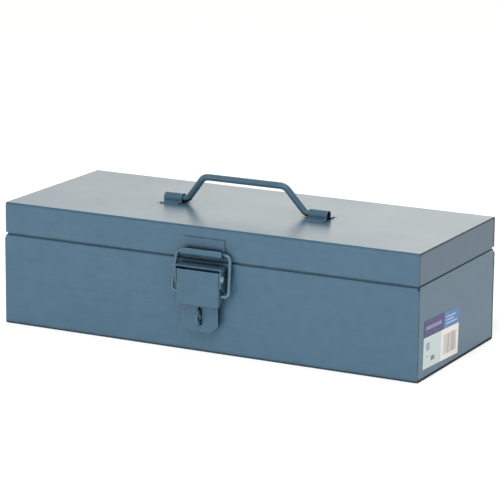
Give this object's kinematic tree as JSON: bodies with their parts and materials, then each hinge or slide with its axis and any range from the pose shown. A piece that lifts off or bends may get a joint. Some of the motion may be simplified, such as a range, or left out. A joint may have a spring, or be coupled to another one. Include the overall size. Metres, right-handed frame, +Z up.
{
  "type": "toolbox",
  "caption": "Small folded steel toolbox with a hinged lid, a swinging rod handle in arched saddles and a draw latch with a wire bail and a padlock staple.",
  "frame": {"origin": "middle of the case's bottom face", "axes": "+X along the length to the right end, +Y from the latch side to the hinges, +Z up"},
  "size_m": [0.3602, 0.1626, 0.1253],
  "materials": {
    "case_enamel": "semi-gloss blue-grey enamel on folded sheet steel",
    "lid_enamel": "semi-gloss blue-grey enamel on folded sheet steel",
    "latch_enamel": "semi-gloss blue-grey enamel on pressed steel",
    "handle_enamel": "semi-gloss blue-grey enamel, rubbed at the bends",
    "bail_wire": "thin enamel on steel wire, rubbed bright",
    "pin_steel": "drawn steel",
    "label_film": "printed film label, blank"
  },
  "bodies": {
    "case": {"case_wrap": "case_enamel", "case_end_left": "case_enamel", "case_end_right": "case_enamel", "latch_base": "latch_enamel", "padlock_staple": "latch_enamel", "lever_rivets": "latch_enamel", "hinge_case_leaf_left": "case_enamel", "hinge_case_leaf_right": "case_enamel", "hinge_pin_left": "pin_steel", "hinge_pin_right": "pin_steel", "shelf_label": "label_film"},
    "lid": {"lid_wrap": "lid_enamel", "lid_end_left": "lid_enamel", "lid_end_right": "lid_enamel", "catch_hook": "latch_enamel", "handle_saddle_left": "handle_enamel", "handle_saddle_right": "handle_enamel", "hinge_lid_leaf_left": "lid_enamel", "hinge_lid_leaf_right": "lid_enamel"},
    "handle": {"handle_rod": "handle_enamel"},
    "lever": {"latch_lever": "latch_enamel"},
    "bail": {"latch_bail": "bail_wire"}
  },
  "joints": [
    {"name": "lid_hinge", "type": "hinge", "parent": "case", "child": "lid", "pos_m": [0, 0.07525, 0.0739], "axis": [-1, 0, 0], "range_deg": [0, 180]},
    {"name": "handle_swing", "type": "hinge", "parent": "lid", "child": "handle", "pos_m": [0, -0.0032, 0.10225], "axis": [1, 0, 0], "range_deg": [-101, 80]},
    {"name": "lever_pivot", "type": "hinge", "parent": "case", "child": "lever", "pos_m": [0, -0.0808, 0.0618], "axis": [-1, 0, 0], "range_deg": [0, 80]},
    {"name": "bail_pivot", "type": "hinge", "parent": "lever", "child": "bail", "pos_m": [0, -0.08, 0.0483], "axis": [-1, 0, 0], "range_deg": [-52.5, 0]}
  ],
  "couplings": [
    {"joint": "bail_pivot", "follows": "lever_pivot", "ratio": -0.655}
  ]
}
